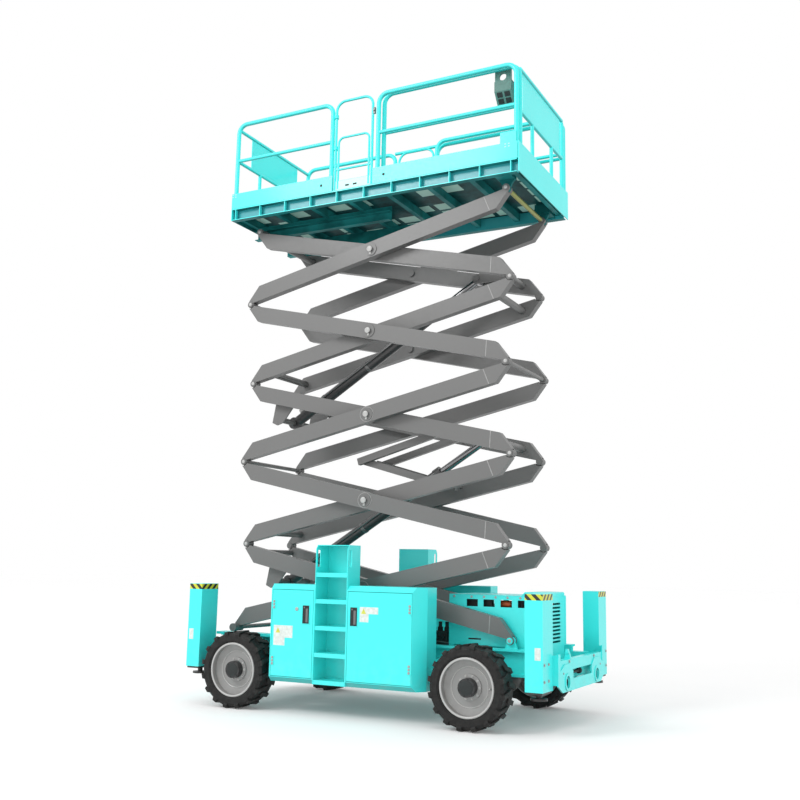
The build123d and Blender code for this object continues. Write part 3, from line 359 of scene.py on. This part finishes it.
# Mesh pieces: shapes are gathered in one mesh and then ride on a body
class Piece:
    def __init__(self):
        self.bm = bmesh.new()

    def block(self, lo, hi, bevel=0.0015):
        size = [b - a for a, b in zip(lo, hi)]
        middle = Vector([(a + b) / 2 for a, b in zip(lo, hi)])
        place = Matrix.Translation(middle) @ Matrix.Diagonal((*size, 1.0))
        made = bmesh.ops.create_cube(self.bm, size=1.0, matrix=place)
        edges = {e for v in made["verts"] for e in v.link_edges}
        width = min(bevel, 0.3 * min(size))
        bmesh.ops.bevel(self.bm, geom=list(edges), offset=width, segments=2, affect="EDGES", profile=0.6)
        return self

    # Profile of (radius, height) turned round an axis through a point
    def turned(self, at, axis, profile, sides=20, turn=0.0):
        axis = Vector(axis).normalized()
        side = axis.orthogonal().normalized()
        up = axis.cross(side)
        rings = []
        for r, h in profile:
            ring = []
            for i in range(sides):
                a = turn + 2 * math.pi * i / sides
                p = Vector(at) + axis * h + (side * math.cos(a) + up * math.sin(a)) * r
                ring.append(self.bm.verts.new(p))
            rings.append(ring)
        for low, high in zip(rings, rings[1:]):
            for i in range(sides):
                k = (i + 1) % sides
                self.bm.faces.new((low[i], low[k], high[k], high[i]))
        self.bm.faces.new(list(reversed(rings[0])))
        self.bm.faces.new(rings[-1])
        return self

    # Closed outline of (radius, height) turned into a ring
    def ring(self, at, axis, outline, sides=48):
        axis = Vector(axis).normalized()
        side = axis.orthogonal().normalized()
        up = axis.cross(side)
        rows = []
        for i in range(sides):
            a = 2 * math.pi * i / sides
            out = side * math.cos(a) + up * math.sin(a)
            rows.append([self.bm.verts.new(Vector(at) + axis * h + out * r) for r, h in outline])
        count = len(outline)
        for i in range(sides):
            row, beyond = rows[i], rows[(i + 1) % sides]
            for j in range(count):
                k = (j + 1) % count
                self.bm.faces.new((row[j], row[k], beyond[k], beyond[j]))
        return self

    # Flat sheet of any outline in space, thickened by a push
    def sheet(self, points, push):
        low = [self.bm.verts.new(p) for p in points]
        high = [self.bm.verts.new(Vector(p) + Vector(push)) for p in points]
        count = len(points)
        for i in range(count):
            k = (i + 1) % count
            self.bm.faces.new((low[i], low[k], high[k], high[i]))
        self.bm.faces.new(list(reversed(low)))
        self.bm.faces.new(high)
        return self

    # Hexagon bolt head on a washer
    def bolt(self, at, axis, r=0.012):
        self.turned(at, axis, ((1.5 * r, 0.0), (1.5 * r, 0.2 * r), (1.4 * r, 0.3 * r)), 14)
        self.turned(at, axis, ((r, 0.25 * r), (r, 0.85 * r), (0.8 * r, r)), 6)
        return self

    # Plate from an outline in two of the three axes, with thickness along the third
    def plate(self, outline, axis, low, high):
        rings = []
        for level in (low, high):
            ring = []
            for a, b in outline:
                if axis == "x":
                    spot = [level, a, b]
                elif axis == "y":
                    spot = [a, level, b]
                else:
                    spot = [a, b, level]
                ring.append(self.bm.verts.new(spot))
            rings.append(ring)
        count = len(outline)
        for i in range(count):
            k = (i + 1) % count
            self.bm.faces.new((rings[0][i], rings[0][k], rings[1][k], rings[1][i]))
        self.bm.faces.new(list(reversed(rings[0])))
        self.bm.faces.new(rings[1])
        return self

    # Round tube through points, with corners eased by sampling a smooth curve
    def tube(self, points, r, sides=10, steps=6):
        line = [Vector(p) for p in points]
        path = []
        for i in range(len(line) - 1):
            a = line[max(i - 1, 0)]
            b, c = line[i], line[i + 1]
            d = line[min(i + 2, len(line) - 1)]
            for j in range(steps):
                t = j / steps
                p = 0.5 * ((2 * b) + (c - a) * t + (2 * a - 5 * b + 4 * c - d) * t * t
                           + (3 * b - a - 3 * c + d) * t * t * t)
                path.append(p)
        path.append(line[-1])
        rings = []
        side = None
        for i, p in enumerate(path):
            ahead = (path[min(i + 1, len(path) - 1)] - path[max(i - 1, 0)]).normalized()
            if side is None:
                side = ahead.orthogonal().normalized()
            side = (side - ahead * side.dot(ahead)).normalized()
            up = ahead.cross(side)
            ring = []
            for k in range(sides):
                a = 2 * math.pi * k / sides
                ring.append(self.bm.verts.new(p + (side * math.cos(a) + up * math.sin(a)) * r))
            rings.append(ring)
        for low, high in zip(rings, rings[1:]):
            for i in range(sides):
                k = (i + 1) % sides
                self.bm.faces.new((low[i], low[k], high[k], high[i]))
        self.bm.faces.new(list(reversed(rings[0])))
        self.bm.faces.new(rings[-1])
        return self

    def done(self, name, mat, body, smooth=True):
        for v in self.bm.verts:
            v.co.x += SHIFT
        bmesh.ops.recalc_face_normals(self.bm, faces=self.bm.faces)
        mesh = bpy.data.meshes.new(name)
        self.bm.to_mesh(mesh)
        self.bm.free()
        obj = bpy.data.objects.new(name, mesh)
        bpy.context.scene.collection.objects.link(obj)
        mesh.materials.append(mat)
        if smooth:
            mesh.shade_smooth()
            mesh.set_sharp_from_angle(angle=math.radians(35))
        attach(obj, body)
        return obj


# Outlines of the blank label and the blank mark on each door
REAR_LABEL = ((-0.886, 0.716), (-0.74, 0.716), (-0.74, 0.8), (-0.641, 0.8), (-0.641, 0.93), (-0.886, 0.93))
REAR_MARK = ((-0.86, 0.85), (-0.80, 0.85), (-0.83, 0.905))
FRONT_LABEL = ((0.195, 1.005), (0.3, 1.005), (0.3, 1.09), (0.414, 1.09), (0.414, 1.16), (0.195, 1.16))
FRONT_MARK = ((0.21, 1.09), (0.27, 1.09), (0.24, 1.145))
DOOR_PLATES = (("rear", REAR_LABEL, REAR_MARK), ("front", FRONT_LABEL, FRONT_MARK))


# Doors: hinge bolts, recessed latches with a flat dark plate of painted shade for each recess, locks and
# blank label plates
def door_fittings():
    for name, s in NEAR_FAR:
        face = s * CAB_FACE
        out = (0, s, 0)
        for door, latch_x, hinge_x in (("rear", -0.475, -0.89), ("front", 0.122, 0.784)):
            body = f"door_{door}_{name}"
            frame_piece = Piece()
            low, high = sorted((face, face + s * 0.006))
            rim = ((-0.05, -0.104, 0.05, -0.096), (-0.05, 0.096, 0.05, 0.104))
            for a, c, b, d in rim:
                frame_piece.block((latch_x + a, low, 1.056 + c), (latch_x + b, high, 1.056 + d))
            for x in (-0.05, 0.042):
                frame_piece.block((latch_x + x, low, LATCH_Z[0]), (latch_x + x + 0.008, high, LATCH_Z[1]))
            frame_piece.done(f"latch_frame_{door}_{name}", cyan_low, body)
            # painted shade: a flat dark plate on the door face stands for the shade inside the latch recess
            well = Piece()
            low, high = sorted((face, face + s * 0.002))
            well.block((latch_x - 0.044, low, LATCH_Z[0]), (latch_x + 0.044, high, LATCH_Z[1]), 0.0005)
            well.done(f"latch_well_{door}_{name}", black_and_shade_mat, body)
            grip = Piece()
            low, high = sorted((face + s * 0.003, face + s * 0.012))
            grip.block((latch_x + 0.002, low, 0.975), (latch_x + 0.03, high, 1.12), 0.004)
            lock = ((0.009, 0), (0.009, 0.006), (0.006, 0.008))
            grip.turned((latch_x - 0.02, face + s * 0.002, 1.13), out, lock)
            grip.done(f"latch_grip_{door}_{name}", dark_zinc, body)
            bolts = Piece()
            for z in HINGE_BOLT_Z:
                bolts.bolt((hinge_x, face + s * 0.006, z), out, 0.0095)
            bolts.done(f"hinge_bolts_{door}_{name}", zinc_mat, body)
        lock = Piece()
        lock.turned((-0.593, face, 1.111), out, ((0.02, 0), (0.02, 0.006), (0.014, 0.009)))
        lock.done(f"door_lock_{name}", zinc_mat, f"door_rear_{name}")
        for door, label, sign in DOOR_PLATES:
            body = f"door_{door}_{name}"
            plates = Piece()
            low, high = sorted((face, face + s * LABEL_T))
            plates.plate(label, "y", low, high)
            plates.done(f"blank_label_{door}_{name}", label_mat, body, False)
            mark = Piece()
            low, high = sorted((face + s * 0.0016, face + s * 0.0024))
            mark.plate(sign, "y", low, high)
            mark.done(f"blank_mark_{door}_{name}", mark_mat, body, False)


# Stabilizer housings: bolts on the end faces and blank plates on the outer faces
def housing_fittings():
    for name, s in NEAR_FAR:
        bolts = Piece()
        for y in (0.93, 1.06):
            for z in (0.52, 0.678):
                bolts.bolt((BOX_FRONT[1], s * y, z), (1, 0, 0), 0.011)
                bolts.bolt((BOX_REAR[0], s * y, z), (-1, 0, 0), 0.011)
        bolts.done(f"housing_bolts_{name}", zinc_mat, "base")
        plates = Piece()
        low, high = sorted((s * BOX_FACE, s * (BOX_FACE + LABEL_T)))
        for x in (2.124, -2.07):
            plates.plate(((x, 0.722), (x + 0.06, 0.722), (x + 0.06, 0.84), (x, 0.84)), "y", low, high)
        plates.done(f"blank_housing_labels_{name}", label_mat, "base", False)


# End plates: bolts at both ends, tow pin and bracket at the front
def nose_fittings():
    pin = Piece()
    pin.tube(((2.19, -0.29, 0.545), (2.2, -0.1, 0.545), (2.2, 0.05, 0.545)), 0.015)
    pin.turned((2.2, 0.03, 0.545), (0, 1, 0), ((0.02, 0), (0.034, 0.008), (0.034, 0.03), (0.02, 0.038)))
    pin.turned((2.2, -0.3, 0.545), (0, 1, 0), ((0.03, 0), (0.03, 0.03), (0.022, 0.036)))
    pin.done("tow_pin", black_and_shade_mat, "base")
    bolts = Piece()
    for x, way in ((2.25, 1), (-2.137, -1)):
        for y in (-0.43, 0.43):
            bolts.bolt((x, y, 0.673), (way, 0, 0), 0.012)
    for x, way in ((2.26, 1), (-2.147, -1)):
        for y in (-0.64, 0.64):
            bolts.bolt((x, y, 0.57), (way, 0, 0), 0.0075)
    bolts.done("nose_bolts", zinc_mat, "base")
    bracket = Piece()
    bracket.plate(((2.19, 0.69), (2.25, 0.69), (2.25, 0.72), (2.225, 0.79), (2.2, 0.79)), "y", -0.4, -0.36)
    bracket.turned((2.222, -0.4, 0.76), (0, -1, 0), ((0.018, 0), (0.018, 0.012), (0.01, 0.016)))
    bracket.done("nose_bracket", cyan_low, "base")


# Pod: bolts along its top edge, a slot low in its side drawn as a flat dark plate of painted shade, filter
# and ducts behind the windows
def pod_fittings():
    bolts = Piece()
    for s in (-1, 1):
        for x in (0.95, 1.152, 1.297, 1.43, 1.565, 1.71, 1.85):
            bolts.bolt((x, s * POD_FACE, 1.283), (0, s, 0), 0.009)
    bolts.done("pod_bolts", zinc_mat, "base")
    # painted shade: a flat dark plate on each side stands for the shaded inside of the slot
    slot = Piece()
    for s in (-1, 1):
        low, high = sorted((s * POD_FACE, s * (POD_FACE + LABEL_T)))
        slot.plate(((1.119, 0.834), (1.264, 0.834), (1.264, 0.85), (1.119, 0.85)), "y", low, high)
    slot.done("pod_slot", black_and_shade_mat, "base", False)
    filters = Piece()
    filters.turned((1.42, -0.3, 1.215), (1, 0, 0), ((0.02, 0), (0.036, 0.01), (0.036, 0.16), (0.02, 0.17)))
    filters.done("engine_filter", orange_mat, "base")
    dark = Piece()
    dark.block((1.03, -0.31, 1.17), (1.36, -0.25, 1.26), 0.004)
    dark.block((1.62, -0.31, 1.17), (1.7, -0.25, 1.26), 0.004)
    dark.done("engine_ducts", black_and_shade_mat, "base")


# Valve block and lines on the tray behind the pod, seen between the pod and the cabinets
def valve_fittings():
    for name, s in NEAR_FAR:
        block = Piece()
        low, high = sorted((s * 0.2, s * 0.36))
        block.block((0.62, low, 0.51), (0.86, high, 0.9), 0.008)
        for x in (0.66, 0.74, 0.82):
            stub = ((0.03, 0), (0.03, 0.04), (0.02, 0.05), (0.02, 0.1))
            block.turned((x, s * 0.28, 0.9), (0, 0, 1), stub)
            block.turned((x, s * 0.36, 0.84), (0, s, 0), ((0.022, 0), (0.022, 0.02), (0.016, 0.03)), 6)
        block.done(f"valve_block_{name}", black_and_shade_mat, "base")
        lines = Piece()
        for i, z in enumerate((0.73, 0.78)):
            y = s * (0.375 - 0.02 * i)
            lines.tube(((0.5, y, z), (0.6, y, z), (0.74, y, z + 0.01), (0.86, y, z), (0.89, y, z)), 0.012, 8)
        lines.done(f"valve_lines_{name}", dark_zinc, "base")


# Wheels: nuts round the hub, rolled lip of the rim in a lighter grey as a painted highlight, valve stem and
# hub cover
def wheel_fittings():
    angles = [i * math.pi / 5 for i in range(10)]
    bead = [(0.284 + 0.011 * math.cos(a), 0.009 * math.sin(a)) for a in angles]
    step = ((0.196, -0.004), (0.204, -0.004), (0.206, 0.003), (0.2, 0.007), (0.194, 0.003))
    for place, x in (("front", WHEEL_X), ("rear", -WHEEL_X)):
        for name, s in NEAR_FAR:
            body = f"wheel_{place}_{name}"
            out = (0, s, 0)
            nuts = Piece()
            for i in range(NUTS):
                a = 2 * math.pi * i / NUTS
                spot = (x + NUT_RING * math.cos(a), s * DISH_FACE, WHEEL_Z + NUT_RING * math.sin(a))
                nuts.bolt(spot, out, 0.0105)
            nuts.done(f"wheel_nuts_{place}_{name}", pin_mat, body)
            # painted highlight: the rolled lip and the step ring are lighter grey than the rim; the valve
            # stem shares the colour
            lip = Piece()
            lip.ring((x, s * RIM_FACE, WHEEL_Z), out, bead)
            lip.ring((x, s * 1.036, WHEEL_Z), out, step)
            lip.turned((x + 0.23, s * 1.046, WHEEL_Z), out, ((0.009, 0), (0.008, 0.03), (0.006, 0.034)), 10)
            lip.done(f"rim_lip_{place}_{name}", rim_lip_highlight_mat, body)
            hub = Piece()
            cover = ((0.072, 0), (0.072, 0.003), (0.05, 0.008), (0.02, 0.009))
            hub.turned((x, s * 1.1275, WHEEL_Z), out, cover, 28)
            for i in range(6):
                a = 2 * math.pi * i / 6 + 0.3
                hub.bolt((x + 0.082 * math.cos(a), s * 1.128, WHEEL_Z + 0.082 * math.sin(a)), out, 0.006)
            hub.done(f"hub_cover_{place}_{name}", black_and_shade_mat, body)


# Arm geometry at rest, as the solids have it
def leans_forward(kind, stage):
    return (kind == "outer") == (stage % 2 == 1)


def arm_point(kind, stage, s, t):
    z = Z_BASE + (stage - 1) * RISE
    u = s * math.cos(TILT) - (t + PIN_OFF) * math.sin(TILT)
    w = s * math.sin(TILT) + (t + PIN_OFF) * math.cos(TILT)
    if leans_forward(kind, stage):
        return (X_REAR + u, z + w)
    return (X_FRONT - u, z + w)


def strip(piece, kind, stage, a, b, half, y0, y1):
    run = Vector((b[0] - a[0], b[1] - a[1])).normalized()
    side = (-run.y * half, run.x * half)
    corners = [(a[0] - side[0], a[1] - side[1]), (b[0] - side[0], b[1] - side[1])]
    corners += [(b[0] + side[0], b[1] + side[1]), (a[0] + side[0], a[1] + side[1])]
    low, high = sorted((y0, y1))
    piece.plate([arm_point(kind, stage, *c) for c in corners], "y", low, high)


# Flat ring of short plates round a centre pin
def weld_ring(piece, centre, low, high, count=40):
    inner, outer = RING_R
    for i in range(count):
        a0 = 2 * math.pi * i / count
        a1 = 2 * math.pi * (i + 1) / count
        corners = []
        for r, a in ((outer, a0), (outer, a1), (inner, a1), (inner, a0)):
            corners.append((centre[0] + r * math.cos(a), centre[1] + r * math.sin(a)))
        piece.plate(corners, "y", low, high)


# Arms: weld lines of the end boxes, pin heads with keeper plates, rings round the lower centre pins
def arm_fittings():
    for stage in range(1, STAGES + 1):
        for kind, face in (("outer", OUTER_FACE), ("inner", INNER_FACE)):
            body = f"{kind}_{stage}"
            seams = Piece()
            heads = Piece()
            for s in (-1, 1):
                y = s * face
                right = BODY_L - SEAM_AT if leans_forward(kind, stage) else SEAM_AT
                lean = 0.015 if leans_forward(kind, stage) else -0.015
                top, foot = (right + lean, -0.09), (right - lean, 0.09)
                strip(seams, kind, stage, top, foot, 0.005, y, y + s * 0.0015)
                if kind == "outer":
                    x, z = arm_point(kind, stage, BODY_L / 2, 0)
                    cap = ((0.034, 0), (0.034, 0.005), (0.028, 0.008))
                    heads.turned((x, y + s * 0.031, z), (0, s, 0), cap, 24)
                    low, high = sorted((y + s * 0.009, y + s * 0.017))
                    heads.block((x - 0.012, low, z - 0.062), (x + 0.012, high, z - 0.03), 0.002)
                ends = [(BODY_L, PIN_OFF)]
                if stage == 1:
                    ends.append((0.0, -PIN_OFF))
                for spot in ends:
                    x, z = arm_point(kind, stage, *spot)
                    cap = ((0.02, 0), (0.02, 0.002), (0.016, 0.004))
                    heads.turned((x, y + s * 0.007, z), (0, s, 0), cap, 18)
            if kind == "outer" and stage <= 3:
                centre = arm_point(kind, stage, BODY_L / 2, 0)
                for s in (-1, 1):
                    low, high = sorted((s * face, s * (face + 0.002)))
                    weld_ring(seams, centre, low, high)
            seams.done(f"weld_lines_{kind}_{stage}", seam_mat, body, False)
            heads.done(f"pin_heads_{kind}_{stage}", pin_mat, body)


# Plated sleeve on the through shaft that ties the top pair of outer arms
def shaft_fittings():
    x, z = arm_point("outer", STAGES, BODY_L, PIN_OFF)
    sleeve = Piece()
    skin = ((0.0248, 0), (0.0258, 0.006), (0.0258, 0.994), (0.0248, 1.0))
    sleeve.turned((x, -0.5, z), (0, 1, 0), skin, 24)
    sleeve.done("shaft_sleeve", shaft_mat, f"outer_{STAGES}")


# Cylinders: oil pipes held by bands along each barrel, valve block at its foot
def cylinder_fittings():
    ear = (BODY_L - 0.395, -0.262)
    heads = {1: (0.505, 0.022), 2: (0.605, -0.078)}
    for number, stage in ((1, 1), (2, 3)):
        a = Vector(arm_point("inner", stage, *ear))
        b = Vector(arm_point("inner", stage + 2, *heads[number]))
        run = (b - a).normalized()
        up = Vector((-run.y, run.x))

        def spot(s, t, y):
            p = a + run * s + up * t
            return (p.x, y, p.y)

        pipe = Piece()
        near = [(0.27, -0.068), (0.35, -0.083), (1.2, -0.083), (2.25, -0.083), (2.34, -0.068)]
        pipe.tube([spot(along, 0.01, y) for along, y in near], 0.011, 10)
        far = [(0.27, 0.068), (0.35, 0.083), (0.8, 0.083), (1.1, 0.083)]
        pipe.tube([spot(along, 0.01, y) for along, y in far], 0.009)
        for s in (0.5, 1.2, 1.9):
            band = ((0.067, 0), (0.0695, 0.004), (0.0695, 0.036), (0.067, 0.04))
            pipe.turned(spot(s, 0, 0), (run.x, 0, run.y), band, 28)
        pipe.done(f"cylinder_pipe_{number}", dark_zinc, f"barrel_{number}")
        block = Piece()
        for s, t in ((0.16, 0.064), (0.22, 0.064)):
            stub = ((0.034, 0), (0.034, 0.04), (0.022, 0.05), (0.022, 0.075))
            block.turned(spot(s, t, 0), (up.x, 0, up.y), stub, 6)
        body = ((0.026, 0), (0.03, 0.006), (0.03, 0.094), (0.026, 0.1))
        block.turned(spot(0.19, 0.075, -0.05), (0, 1, 0), body, 8)
        block.done(f"cylinder_valve_{number}", zinc_mat, f"barrel_{number}")


# Hose carrier: a bundle of lines clamped in each channel
def hose_fittings():
    arm = 1.018
    top = Z_BASE + 2 * RISE
    for name, way, low in (("upper", -1, 0.232), ("lower", 1, 0.168)):
        x0 = X_FRONT - arm * math.cos(REST)
        z0 = top - way * arm * math.sin(REST)
        d = (-math.cos(REST), way * math.sin(REST))
        n = (d[1], -d[0])
        lines = Piece()
        clips = Piece()
        for s in (-1, 1):
            for k in range(3):
                y = s * (low + 0.016 + 0.014 * k)
                points = []
                for q in (0.07, 0.3, 0.6, 0.94):
                    points.append((x0 + d[0] * q + n[0] * 0.02, y, z0 + d[1] * q + n[1] * 0.02))
                lines.tube(points, 0.0062, 8, 2)
            for q in (0.25, 0.5, 0.75):
                x = x0 + d[0] * q + n[0] * 0.03
                z = z0 + d[1] * q + n[1] * 0.03
                lo_y, hi_y = sorted((s * (low + 0.006), s * (low + 0.054)))
                clips.block((x - 0.012, lo_y, z - 0.004), (x + 0.012, hi_y, z + 0.004), 0.001)
        lines.done(f"carrier_lines_{name}", rubber_mat, f"hose_{name}")
        clips.done(f"carrier_clips_{name}", zinc_mat, f"hose_{name}")


# Platform: drain holes in the toe boards as dark discs of painted shade, blank marks in the toe boards, pale
# gate toe sheet with slots as dark plates of painted shade, gate latch
def platform_fittings():
    for name, s in NEAR_FAR:
        y = s * PLAT_Y
        # painted shade: dark discs on the toe boards stand for the shade inside the drain holes
        holes = Piece()
        for x in (-0.637, 0.21):
            hole_shade = ((0.017, 0), (0.017, 0.002), (0.012, 0.0025))
            holes.turned((x, y - s * 0.001, 6.067), (0, s, 0), hole_shade, 20)
        holes.done(f"toe_holes_{name}", black_and_shade_mat, "platform")
        marks = Piece()
        low, high = sorted((y, y + s * 0.001))
        for cx in (-1.918, 1.738):
            for dx in (-0.03, 0.012):
                for dz in (-0.02, 0.01):
                    x0, x1 = cx + dx, cx + dx + 0.018
                    z0, z1 = 6.138 + dz, 6.15 + dz
                    marks.plate(((x0, z0), (x1, z0), (x1, z1), (x0, z1)), "y", low, high)
        marks.done(f"toe_marks_{name}", pale_cyan, "platform", False)
    panel = Piece()
    panel.block((-0.472, -RAIL_Y - 0.0066, 5.988), (0.035, -RAIL_Y - 0.005, 6.099), 0.0004)
    panel.done("gate_toe_sheet", pale_cyan, "gate", False)
    # painted shade: dark plates on the toe sheet stand for the shade seen through its slots
    slots = Piece()
    low, high = -RAIL_Y - 0.0076, -RAIL_Y - 0.0066
    for x in (-0.32, -0.215):
        slots.plate(((x, 6.02), (x + 0.05, 6.02), (x + 0.05, 6.042), (x, 6.042)), "y", low, high)
    slots.done("gate_toe_slots", black_and_shade_mat, "gate", False)
    latch = Piece()
    latch.block((0.036, -RAIL_Y - 0.012, 6.86), (0.068, -RAIL_Y + 0.012, 6.94), 0.004)
    latch.turned((0.052, -RAIL_Y - 0.012, 6.9), (0, -1, 0), ((0.012, 0), (0.012, 0.01), (0.008, 0.013)))
    latch.done("gate_latch", dark_zinc, "gate")


# Control box: four dark windows in its sloped face, lever and stop button on top
def control_fittings():
    inner = 0.031 - DECK_RAIL_Y
    lip, low, top = DECK_RAIL_TOP - 0.272, DECK_RAIL_TOP - 0.395, DECK_RAIL_TOP - 0.152
    slope = Vector((0, 0.1, low - lip))
    out = Vector((0, low - lip, -0.1)).normalized()
    keys = Piece()
    for a, b in ((0.12, 0.44), (0.56, 0.88)):
        for c, d in ((0.1, 0.46), (0.56, 0.92)):
            corners = []
            for u, v in ((a, c), (b, c), (b, d), (a, d)):
                x = BOX_X[0] + u * (BOX_X[1] - BOX_X[0])
                corners.append(Vector((x, inner, lip)) + slope * v)
            keys.sheet(corners, out * 0.003)
    keys.done("control_windows", black_and_shade_mat, "extension", False)
    stick = Piece()
    lever = ((0.03, 0), (0.026, 0.012), (0.01, 0.03), (0.009, 0.06))
    lever += ((0.016, 0.07), (0.016, 0.1), (0.008, 0.108))
    stick.turned((BOX_X[1] - 0.06, inner + 0.09, top), (0, 0, 1), lever)
    stick.done("control_lever", black_and_shade_mat, "extension")
    stop = Piece()
    button = ((0.014, 0), (0.014, 0.015), (0.022, 0.018), (0.022, 0.03), (0.015, 0.035))
    stop.turned((BOX_X[0] + 0.05, inner + 0.09, top), (0, 0, 1), button)
    stop.done("control_stop_button", orange_mat, "extension")


door_fittings()
housing_fittings()
nose_fittings()
pod_fittings()
valve_fittings()
wheel_fittings()
arm_fittings()
shaft_fittings()
cylinder_fittings()
hose_fittings()
platform_fittings()
control_fittings()

# Stage: pale floor, soft light
floor_graph = Graph("floor_pale")
floor_tint = floor_graph.mix(floor_graph.noise(0.6, 2.0), (0.88, 0.88, 0.88), (0.9, 0.9, 0.9))
floor_graph.set(Base_Color=floor_tint)
floor_graph.shader.inputs["Roughness"].default_value = 0.9
floor_graph.shader.inputs["Emission Color"].default_value = (1.0, 1.0, 1.0, 1.0)
floor_graph.shader.inputs["Emission Strength"].default_value = 0.1
bpy.ops.mesh.primitive_plane_add(size=160, location=(0, 0, 0))
floor = bpy.context.object
floor.name = "floor"
floor.data.materials.append(floor_graph.mat)

scene = bpy.context.scene
world = bpy.data.worlds.new("studio")
scene.world = world
world.use_nodes = True
sky = world.node_tree.nodes["Background"]
sky.inputs["Color"].default_value = (1.0, 1.0, 1.0, 1.0)
sky.inputs["Strength"].default_value = 1.0
scene.view_settings.view_transform = "Standard"


def area(name, place, target, size, power):
    data = bpy.data.lights.new(name, "AREA")
    data.shape = "DISK"
    data.size = size
    data.energy = power
    lamp = bpy.data.objects.new(name, data)
    scene.collection.objects.link(lamp)
    lamp.location = place
    aim = Vector(target) - Vector(place)
    lamp.rotation_euler = aim.to_track_quat("-Z", "Y").to_euler()


area("key", (-6.0, -12.0, 12.0), (0, 0, 3.0), 6.0, 900.0)

# Camera, as the photo was taken
yaw = math.radians(27.5174)
pitch = math.radians(9.4844)
roll = math.radians(1.0780)
ahead = Vector((-math.sin(yaw) * math.cos(pitch), math.cos(yaw) * math.cos(pitch), math.sin(pitch)))
right = Vector((math.cos(yaw), math.sin(yaw), 0))
above = right.cross(ahead)
right_r = math.cos(roll) * right + math.sin(roll) * above
above_r = math.cos(roll) * above - math.sin(roll) * right
cam_data = bpy.data.cameras.new("camera")
cam_data.sensor_width = 36.0
cam_data.lens = 36.0 * 992.8923 / 800.0
cam_data.clip_end = 500.0
cam = bpy.data.objects.new("camera", cam_data)
scene.collection.objects.link(cam)
turn = Matrix((right_r, above_r, -ahead)).transposed().to_4x4()
cam.matrix_world = Matrix.Translation((5.4673 + SHIFT, -10.4176, 1.5943)) @ turn
scene.camera = cam
